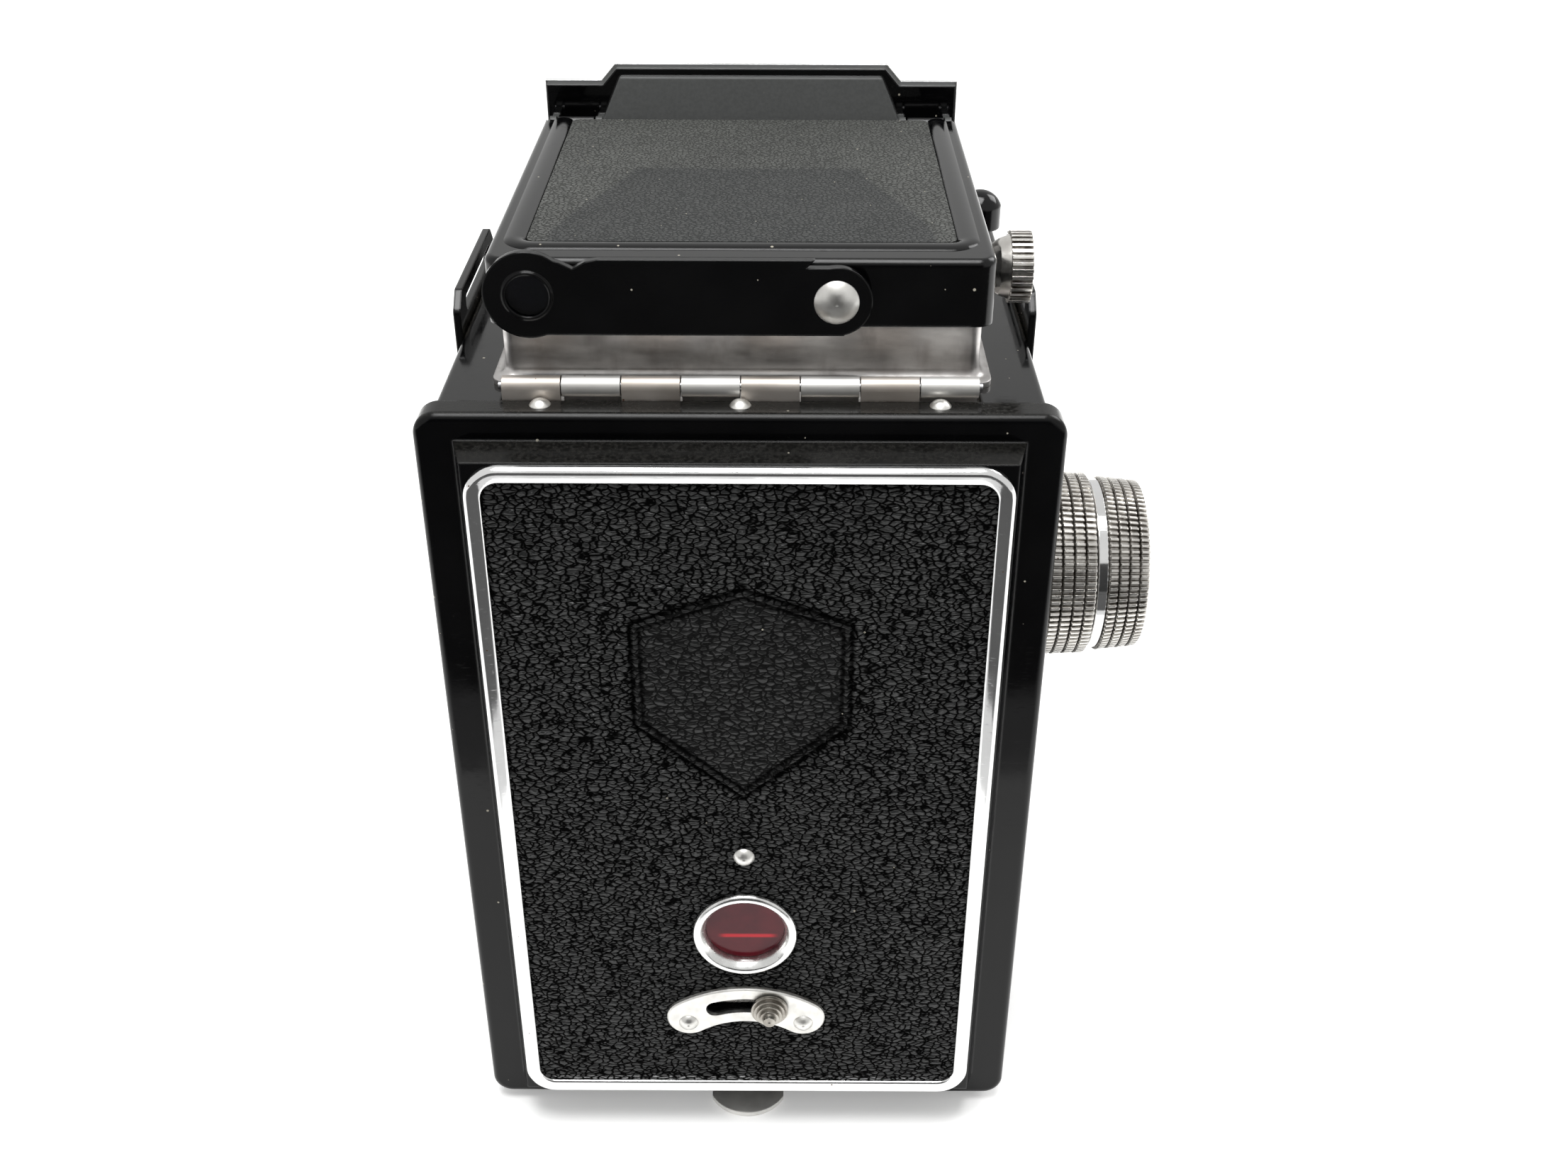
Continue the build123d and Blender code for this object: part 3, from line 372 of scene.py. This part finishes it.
def red_glass():
    """Ruby glass with a painted highlight: a bright red line across it, standing in for a reflection."""
    finish = Finish("red_glass", (0.050, 0.004, 0.008), (0.085, 0.006, 0.011), (0.10, 0.2), tone_mm=5)
    low, high = span("window_glass")
    highlight_x, highlight_z = -0.4 * MM, (low.z * 0.63 + high.z * 0.37) * MM
    x, _, z = finish.axes()
    from_highlight = finish.maths("ABSOLUTE", finish.maths("SUBTRACT", z, highlight_z))
    from_middle = finish.maths("ABSOLUTE", finish.maths("SUBTRACT", x, highlight_x))
    thin = finish.remap(from_highlight, 0.12 * MM, 0.48 * MM, 1.0, 0.0)
    highlight_line = finish.maths("MULTIPLY", thin, finish.remap(from_middle, 3.0 * MM, 4.6 * MM, 1.0, 0.0))
    # Painted highlight: the bright red line.
    finish.stain(finish.maths("MULTIPLY", highlight_line, 0.85), (0.50, 0.012, 0.022), 0.0)
    return finish.grain(2.0, 0.004).done(Specular_IOR_Level=0.3)


def clear_glass():
    finish = Finish("clear_glass", (0.40, 0.44, 0.55), (0.50, 0.53, 0.64), (0.0, 0.02), tone_mm=10)
    return finish.grain(6.0, 0.001).done(Transmission_Weight=1.0, IOR=1.45, Specular_IOR_Level=0.3)


def ground_glass():
    finish = Finish("ground_glass", (0.55, 0.57, 0.58), (0.62, 0.64, 0.65), (0.4, 0.5), tone_mm=10)
    return finish.grain(0.08, 0.006).done(Transmission_Weight=0.35, IOR=1.52)


def mirror_silver():
    finish = Finish("mirror_silver", (0.84, 0.85, 0.86), (0.9, 0.9, 0.91), (0.01, 0.03), 1.0, tone_mm=12)
    return finish.specks(2.0, 0.1, 0.08, DUST).done()


# Darkest colour, lightest colour and roughness.
LEATHER = ((0.0048, 0.0054, 0.0057), (0.0100, 0.0106, 0.0104), (0.28, 0.40))
MATERIALS = {
    "black_enamel": enamel("black_enamel").done(),
    "matt_black": matt_black(),
    "chrome": chrome(),
    "nickel": nickel("nickel"),
    "steel": steel(),
    "satin_alloy": satin_alloy(),
    "red_glass": red_glass(),
    "clear_glass": clear_glass(),
    "ground_glass": ground_glass(),
    "mirror_silver": mirror_silver(),
    "leather": pebbled("leather_side", (0, 1.8, 1), *LEATHER).done(),
}
DOOR_LEATHER = pebbled("leather_door", (1.8, 0, 1), *LEATHER, pressed=True).done()
KNURLED = nickel("knurled_nickel", (0.2, 0.34), 1.0, 0.55)
BRIGHT = bright_nickel()
RING = ring_chrome()
NODE_FINISH = {
    "lid_leather": lid_leather_finish(),
    "catch_knob": nickel("wheel_nickel", (0.14, 0.26), 1.0, 1.1),
    "door_shell": door_enamel(),
    "body_shell": body_enamel(),
    "hood_front": hood_enamel(),
    "door_leather": DOOR_LEATHER,
    "door_rivets": BRIGHT,
    "slot_plate": BRIGHT,
    "arm_pivot": BRIGHT,
    "body_hinge_leaf": hinge_nickel("hinge_nickel", (0.56, 0.55, 0.53), (0.72, 0.71, 0.69)),
    "door_hinge_leaf": hinge_nickel("hinge_nickel_brown", (0.40, 0.36, 0.32), (0.60, 0.56, 0.52)),
    "window_ring": RING,
    "window_knob": dull_nickel(),
    "latch_slide": worn_tab(),
}


def paint(obj, material):
    if not obj.material_slots:
        obj.data.materials.append(material)
    for slot in obj.material_slots:
        slot.material = material


def paint_nodes():
    for name, obj in NODES.items():
        paint(obj, NODE_FINISH.get(name) or MATERIALS[SLOT_OF[name]])


# ---- mesh helpers -------------------------------------------------------------------------------
def piece(name, points_mm, faces, material, body, sharp_deg):
    """A smooth mesh that rides on a body, with edges kept sharp above sharp_deg."""
    mesh = bpy.data.meshes.new(name)
    mesh.from_pydata([tuple(c * MM for c in p) for p in points_mm], [], faces)
    mesh.validate()
    mesh.shade_smooth()
    mesh.set_sharp_from_angle(angle=math.radians(sharp_deg))
    obj = bpy.data.objects.new(name, mesh)
    bpy.context.scene.collection.objects.link(obj)
    paint(obj, material)
    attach(obj, body)
    return obj


def loop_path(width, low, high, radius, steps=10):
    """Points (a, b, outward a, outward b) round a rounded rectangle, counter-clockwise."""
    path = []
    half = width / 2 - radius
    corners = ((half, high - radius, 0), (-half, high - radius, 90),
               (-half, low + radius, 180), (half, low + radius, 270))
    for a, b, start in corners:
        for i in range(steps + 1):
            turn = math.radians(start + 90 * i / steps)
            out_a, out_b = math.cos(turn), math.sin(turn)
            path.append((a + radius * out_a, b + radius * out_b, out_a, out_b))
    return path


def centre_path(a, b, steps=144):
    """One point with the outward direction turning about it, so that a profile's offsets are radii."""
    turns = [2 * math.pi * i / steps for i in range(steps)]
    return [(a, b, math.cos(turn), math.sin(turn)) for turn in turns]


def sweep(path, profile, lay, closed=True):
    """A profile of (offset outwards, height) points carried along a path. lay turns them into x, y, z."""
    points, faces = [], []
    n, m = len(path), len(profile)
    for a, b, out_a, out_b in path:
        points += [lay(a + out_a * off, b + out_b * off, height) for off, height in profile]
    for i in range(n if closed else n - 1):
        for j in range(m):
            next_i, next_j = (i + 1) % n, (j + 1) % m
            faces.append((i * m + j, i * m + next_j, next_i * m + next_j, next_i * m + j))
    if not closed:
        faces += [tuple(reversed(range(m))), tuple((n - 1) * m + j for j in range(m))]
    return points, faces


def half_round(width, rise, base, steps, power):
    """A low crowned profile, flat underneath. A power above 1 gives it hollow flanks."""
    foot = 0.25
    crown = []
    for i in range(steps + 1):
        t = math.pi * i / steps
        crown.append((-math.cos(t) * width / 2, base + rise * math.sin(t) ** power))
    left = [(-width / 2, base - foot), (-width / 2, base)]
    return left + crown[1:-1] + [(width / 2, base), (width / 2, base - foot)]


def turned(stations, angles, centre):
    """Rings of points about a line along X, closed at both ends.

    A station is (x, radius between teeth, radius on teeth). An angle comes with its share of the tooth.
    """
    points, faces = [], []
    n = len(angles)
    for x, low, high in stations:
        for angle, share in angles:
            r = low + (high - low) * share
            points.append((x, centre[0] + r * math.cos(angle), centre[1] + r * math.sin(angle)))
    for i in range(len(stations) - 1):
        for j in range(n):
            k = (j + 1) % n
            faces.append((i * n + j, i * n + k, (i + 1) * n + k, (i + 1) * n + j))
    faces.append(tuple(range(n)))
    last = (len(stations) - 1) * n
    faces.append(tuple(last + j for j in reversed(range(n))))
    return points, faces


# ---- door ---------------------------------------------------------------------------------------
# Millimetres seen from behind: corners are (x, z), and a pressed line is (inset, depth, width).
HEXAGON = ((-0.2, 97.7), (14.2, 92.6), (14.2, 76.5), (0.0, 64.4), (-14.2, 76.5), (-14.2, 92.6))
PRESSED_LINES = ((0.0, 0.30, 0.28), (1.15, 0.24, 0.26))
WINDOW = (span("window_ring")[0] + span("window_ring")[1]) / 2
WINDOW_RING_R, WINDOW_HOLE_R, SLOT_HOLE_R = 7.5, 6.9, 2.2
SWING_Z, SWING_R, SLOT_HALF_DEG = 11.1, 15.0, 17.5
# Where the leather's grid is fine: (from, to, step).
FINE_X = [(-16.5, 16.5, 0.28)]
FINE_Z = [(62.5, 99.5, 0.28), (18.0, 48.0, 0.4)]


def inside_hexagon(x, z):
    """Distance inside the hexagon's outline, in millimetres, negative outside it."""
    distance = np.full(x.shape, 1e9)
    for (x0, z0), (x1, z1) in zip(HEXAGON, HEXAGON[1:] + HEXAGON[:1]):
        length = math.hypot(x1 - x0, z1 - z0)
        across = ((x1 - x0) * (z - z0) - (z1 - z0) * (x - x0)) / length
        distance = np.minimum(distance, -across)
    return distance


def slot_distance(x, z):
    """Distance from the middle line of the curved slot that the window's knob runs in."""
    angle = np.clip(np.degrees(np.arctan2(x, z - SWING_Z)), -SLOT_HALF_DEG, SLOT_HALF_DEG)
    near_x = SWING_R * np.sin(np.radians(angle))
    near_z = SWING_Z + SWING_R * np.cos(np.radians(angle))
    return np.hypot(x - near_x, z - near_z)


def graded(low, high, zones, coarse):
    """Grid lines from low to high: fine steps within the zones, coarse ones between them."""
    lines = [low]
    while lines[-1] < high - 1e-6:
        here = lines[-1]
        step = min([s for z0, z1, s in zones if z0 - coarse <= here < z1] + [coarse])
        lines.append(min(here + step, high))
    return np.array(lines)


def pressed_relief(x, z):
    """Height of the door's leather over its face, how flat it is pressed, and where it is grooved."""
    d = inside_hexagon(x, z)
    height = np.zeros(x.shape)
    groove = np.zeros(x.shape)
    for at, depth, width in PRESSED_LINES:
        cut = np.exp(-(((d - at) / width) ** 2))
        height -= depth * cut
        groove = np.maximum(groove, cut)
    height -= 0.10 * np.clip((d - PRESSED_LINES[1][0]) / 0.5, 0, 1)
    height += 0.08 * np.exp(-(((d - 0.57) / 0.3) ** 2))
    return height, np.clip((d - 0.1) / 0.4, 0, 1), groove


def door_skin():
    """The door's leather, with holes for the window and the slot."""
    low, high = span("door_leather")
    xs = graded(low.x, high.x, FINE_X, 1.1)
    zs = graded(low.z, high.z, FINE_Z, 1.0)
    x, z = np.meshgrid(xs, zs)
    relief, pressed, groove = pressed_relief(x, z)
    rim = np.minimum(np.minimum(x - low.x, high.x - x), np.minimum(z - low.z, high.z - z))
    window = np.hypot(x, z - WINDOW.z)
    edge_drop, window_drop, roll = 0.22, 0.12, 0.5
    relief -= edge_drop * np.exp(-((rim / roll) ** 2))
    relief -= window_drop * np.exp(-(((window - WINDOW_RING_R) / roll) ** 2))
    y = high.y + relief
    n = len(xs)
    points = [tuple(p) for p in np.stack([x, y, z], -1).reshape(-1, 3)]
    middle_x = (x[1:, 1:] + x[:-1, :-1]) / 2
    middle_z = (z[1:, 1:] + z[:-1, :-1]) / 2
    open_here = np.hypot(middle_x, middle_z - WINDOW.z) < WINDOW_HOLE_R
    open_here |= slot_distance(middle_x, middle_z) < SLOT_HOLE_R
    faces = []
    for i, j in zip(*np.nonzero(~open_here)):
        corner = int(i) * n + int(j)
        faces.append((corner, corner + n, corner + n + 1, corner + 1))
    skin = piece("door_leather_pressed", points, faces, DOOR_LEATHER, "door", 60)
    for name, values in (("pressed", pressed), ("groove", groove)):
        shade = skin.data.attributes.new(name, "FLOAT", "POINT")
        shade.data.foreach_set("value", values.astype(np.float32).ravel())
    thickness = skin.modifiers.new("thickness", "SOLIDIFY")
    thickness.thickness = (high.y - low.y - 0.1) * MM
    thickness.offset = -1.0
    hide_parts("door_leather")


def door_bead():
    """The bright bezel: a bead with a steep outer slope and a gentle one towards the leather."""
    low, high = span("door_bezel")
    width, corner_r = 2.2, 3.4
    path = loop_path(high.x - low.x - width, low.z + width / 2, high.z - width / 2, corner_r)
    slopes = ((-1.1, -0.25), (-1.1, 0.35), (-1.04, 0.52), (-0.9, 0.63), (-0.7, 0.70), (-0.3, 0.80),
              (0.1, 0.90), (0.28, 0.94), (0.42, 0.95), (0.54, 0.92), (0.66, 0.83), (0.88, 0.60),
              (1.04, 0.36), (1.1, 0.1), (1.1, -0.25))
    profile = [(across, low.y + 0.25 + rise) for across, rise in slopes]
    points, faces = sweep(path, profile, lambda a, b, h: (a, h, b))
    bead = piece("door_bezel_bead", points, faces, MATERIALS["chrome"], "door", 40)
    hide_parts("door_bezel")


def window_rim():
    """The film window's turned ring, with a rolled lip and a dished inside."""
    low, high = span("window_ring")
    lip, seat, back = high.y, high.y - 0.65, low.y + 0.02
    glass = low.y + 0.6
    outside = [(WINDOW_RING_R, seat), (7.46, seat + 0.3), (7.3, lip - 0.12), (7.05, lip)]
    dish = [(6.6, lip), (6.42, lip - 0.1), (6.2, lip - 0.42), (5.95, lip - 0.72), (5.75, lip - 1.1),
            (5.68, lip - 1.8), (5.66, glass)]
    underside = [(4.9, glass), (4.9, back), (6.58, back), (6.58, seat)]
    profile = outside + dish + underside
    points, faces = sweep(centre_path(0, WINDOW.z), profile[::-1], lambda a, b, h: (a, h, b))
    rim = piece("window_rim_turned", points, faces, RING, "door", 50)
    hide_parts("window_ring")


# ---- lid ----------------------------------------------------------------------------------------
def lid_rib():
    """The soft ridge pressed into the lid along three sides of its leather."""
    low, high = span("lid_leather")
    top = span("hood_lid")[1].z
    reach, width, rise, corner_r = 1.5, 2.8, 0.42, 2.6
    past_open_end = 10
    path = loop_path(high.x - low.x + 2 * reach, low.y - past_open_end, high.y + reach, corner_r)
    path = [p for p in path if p[1] > low.y]
    half = high.x + reach
    path = [(half, low.y, 1, 0)] + path + [(-half, low.y, -1, 0)]
    profile = half_round(width, rise, top - 0.02, 16, 1.6)
    points, faces = sweep(path, profile, lambda a, b, h: (a, b, h), closed=False)
    piece("lid_rib", points, faces, MATERIALS["black_enamel"], "lid", 50)


# ---- knobs --------------------------------------------------------------------------------------
TEETH = 90
TOOTH, GROOVE, CHAMFER = 0.42, 0.75, 0.1
# Share of the pitch and share of the tooth's height at the four corners of one tooth.
TOOTH_SHAPE = ((0.0, 0.0), (0.16, 1.0), (0.54, 1.0), (0.70, 0.0))
TOOTHED = [(2 * math.pi * (i + at) / TEETH, share) for i in range(TEETH) for at, share in TOOTH_SHAPE]
SMOOTH = [(2 * math.pi * i / 160, 0.0) for i in range(160)]
COLLAR_R, COLLAR_WIDTH = 11.75, 1.4
HUB_R = 8.0


def band(x_start, x_end, r_start, r_end):
    """Stations of one toothed band between its two grooves."""
    shoulder = 0.24
    return [
        (x_start, r_start - GROOVE, r_start - GROOVE),
        (x_start - CHAMFER, r_start - TOOTH - CHAMFER, r_start - 0.12),
        (x_start - shoulder, r_start - TOOTH, r_start),
        (x_end + shoulder, r_end - TOOTH, r_end),
        (x_end + CHAMFER, r_end - TOOTH - CHAMFER, r_end - 0.12),
        (x_end, r_end - GROOVE, r_end - GROOVE),
    ]


def bands(x_start, x_end, r_start, r_end, count):
    stations = []
    for i in range(count):
        a, b = (x_start + (x_end - x_start) * (i + k) / count for k in (0, 1))
        ra, rb = (r_start + (r_end - r_start) * (i + k) / count for k in (0, 1))
        stations += band(a, b, ra, rb)
    return stations


def plain(*stations):
    return [(x, r, r) for x, r in stations]


def knob_pieces():
    """The focusing knob, and the winding knob outside it with its bright collar.

    They are solid, without the bore of the CAD knob, so the winding shaft crosses the focusing knob
    out of sight.
    """
    low, high = span("focus_knob")
    wind_low, wind_high = span("wind_knob")
    centre = ((wind_low.y + wind_high.y) / 2, (wind_low.z + wind_high.z) / 2)
    split, outer = low.x, wind_low.x
    wall, neck_r = -39.0, 6.0
    inner = plain((high.x - 0.5, neck_r), (wall, neck_r), (wall, 11.6))
    inner += bands(wall, split, 12.85, 12.5, 5)
    inner += plain((split, HUB_R))
    points, faces = turned(inner, TOOTHED, centre)
    focus = piece("focus_knob_knurled", points, faces, KNURLED, "focus", 28)
    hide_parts("focus_knob")

    start = split - 0.15
    end = start - COLLAR_WIDTH
    edge_r = COLLAR_R - 0.15
    ring = plain((start, HUB_R), (start, edge_r), (start - 0.12, COLLAR_R), (end + 0.12, COLLAR_R),
                 (end, edge_r), (end, HUB_R))
    points, faces = turned(ring, SMOOTH, centre)
    piece("wind_knob_collar", points, faces, MATERIALS["chrome"], "wind", 30)

    winding = plain((end + 0.02, HUB_R)) + bands(end, outer + 0.25, 12.1, 11.5, 4)
    winding += plain((outer + 0.12, 10.5), (outer, 10.2), (outer, 8.2), (outer + 0.35, 7.8),
                     (outer + 0.45, 7.4), (outer + 0.45, 2.6), (outer + 0.2, 2.3))
    points, faces = turned(winding, TOOTHED, centre)
    wind = piece("wind_knob_knurled", points, faces, KNURLED, "wind", 28)
    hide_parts("wind_knob")


# ---- front --------------------------------------------------------------------------------------
def name_panel():
    """A plain enamelled field on the bright front plate."""
    low, high = span("front_escutcheon")
    margin, bottom, top, corner_r = 3.0, low.z + 5.0, low.z + 21.0, 2.0
    back, front = low.y + 0.05, low.y - 0.06
    path = loop_path(high.x - low.x - 2 * margin, bottom, top, corner_r)
    points = [(a, y, b) for y in (back, front) for a, b, _, _ in path]
    n = len(path)
    faces = [tuple(range(n)), tuple(reversed(range(n, 2 * n)))]
    faces += [(i, n + i, n + (i + 1) % n, (i + 1) % n) for i in range(n)]
    piece("front_name_panel", points, faces, MATERIALS["black_enamel"], "case", 30)


MARKS, LONG_EVERY = 20, 5
MARK_R, MARK_HALF_WIDTH = 17.4, 0.13
BOX_FACES = ((0, 3, 2, 1), (4, 5, 6, 7), (0, 1, 5, 4), (1, 2, 6, 5), (2, 3, 7, 6), (3, 0, 4, 7))


def mark_corners(centre_x, centre_z, turn, half_length, y):
    """Four corners of a mark that points outwards from the ring's axis."""
    out_x, out_z = math.cos(turn), math.sin(turn)
    corners = []
    for along, across in ((-1, -1), (1, -1), (1, 1), (-1, 1)):
        reach = MARK_R + along * half_length
        side = across * MARK_HALF_WIDTH
        x = centre_x + out_x * reach - out_z * side
        z = centre_z + out_z * reach + out_x * side
        corners.append((x, y, z))
    return corners


def speed_marks():
    """Short marks round the face of the speed ring, every fifth one longer."""
    low, high = span("speed_ring")
    centre_x, centre_z = (low.x + high.x) / 2, (low.z + high.z) / 2
    points, faces = [], []
    for i in range(MARKS):
        half_length = 0.7 if i % LONG_EVERY else 1.1
        faces += [tuple(len(points) + corner for corner in face) for face in BOX_FACES]
        for y in (low.y + 0.05, low.y - 0.015):
            points += mark_corners(centre_x, centre_z, 2 * math.pi * i / MARKS, half_length, y)
    piece("speed_ring_marks", points, faces, MATERIALS["matt_black"], "speed", 30)


# ---- stage --------------------------------------------------------------------------------------
def level(half_width, near, far, z):
    """Corners of a rectangle parallel to the table."""
    return ((-half_width, near, z), (half_width, near, z), (half_width, far, z), (-half_width, far, z))


def card(name, corners_mm, colour, glow=0.0):
    mesh = bpy.data.meshes.new(name)
    mesh.from_pydata([tuple(c * MM for c in p) for p in corners_mm], [], [(0, 1, 2, 3)])
    obj = bpy.data.objects.new(name, mesh)
    bpy.context.scene.collection.objects.link(obj)
    finish = Finish(name, colour, tuple(c * 0.985 for c in colour), (0.9, 0.85), tone_mm=60)
    paint(obj, finish.done(Emission_Color=(1.0, 1.0, 1.0), Emission_Strength=glow))
    return obj


def flag(name, corners_mm, colour=(0.01, 0.01, 0.01)):
    """A card that the camera and the shadows don't see: it only shows in polished surfaces."""
    obj = card(name, corners_mm, colour)
    obj.visible_camera = False
    obj.visible_diffuse = False
    obj.visible_shadow = False


def area_light(name, place_mm, target_mm, size_mm, watts):
    data = bpy.data.lights.new(name, "AREA")
    data.size = size_mm * MM
    data.energy = watts
    light = bpy.data.objects.new(name, data)
    light.location = Vector(place_mm) * MM
    light.rotation_euler = (Vector(target_mm) - Vector(place_mm)).to_track_quat("-Z", "Y").to_euler()
    bpy.context.scene.collection.objects.link(light)


def stage():
    """A white table, the dark edge of it and the photographer as reflections, and two soft lights."""
    reach = 4000
    card("floor", level(reach, -reach, reach, 0), (0.93, 0.93, 0.925), glow=0.22)
    flag("table_shade", level(900, 122, 150, 0.5), (0.45, 0.45, 0.45))
    flag("table_edge", level(900, 150, 1900, 0.5), (0.045, 0.045, 0.045))
    flag("photographer", ((-260, 480, 20), (260, 480, 20), (260, 540, 380), (-260, 540, 380)))
    area_light("overhead", (60, 150, 1100), (0, 0, 60), 600, 11.0)
    area_light("window", (-700, -500, 700), (0, 0, 80), 500, 4.0)
    world = bpy.data.worlds.new("studio")
    world.use_nodes = True
    background = world.node_tree.nodes["Background"]
    background.inputs["Color"].default_value = (1.0, 1.0, 0.99, 1.0)
    background.inputs["Strength"].default_value = 0.75
    bpy.context.scene.world = world
    bpy.context.scene.view_settings.view_transform = "Standard"


# Solved from the straight edges of the door in the photo.
CAMERA_MM = (-5.65, 220.0, 206.2)
PITCH, YAW, ROLL = 31.53, 0.07, 0.19
FOCAL_MM, SENSOR_MM = 37.96, 36.0


def camera():
    data = bpy.data.cameras.new("camera")
    data.sensor_width = SENSOR_MM
    data.lens = FOCAL_MM
    data.clip_start = 0.01
    obj = bpy.data.objects.new("camera", data)
    bpy.context.scene.collection.objects.link(obj)
    turn = Matrix.Rotation(math.radians(180 + YAW), 4, "Z")
    turn = turn @ Matrix.Rotation(math.radians(90 - PITCH), 4, "X")
    turn = turn @ Matrix.Rotation(math.radians(ROLL), 4, "Z")
    obj.matrix_world = Matrix.Translation(Vector(CAMERA_MM) * MM) @ turn
    bpy.context.scene.camera = obj


paint_nodes()
door_skin()
door_bead()
window_rim()
lid_rib()
knob_pieces()
name_panel()
speed_marks()
stage()
camera()
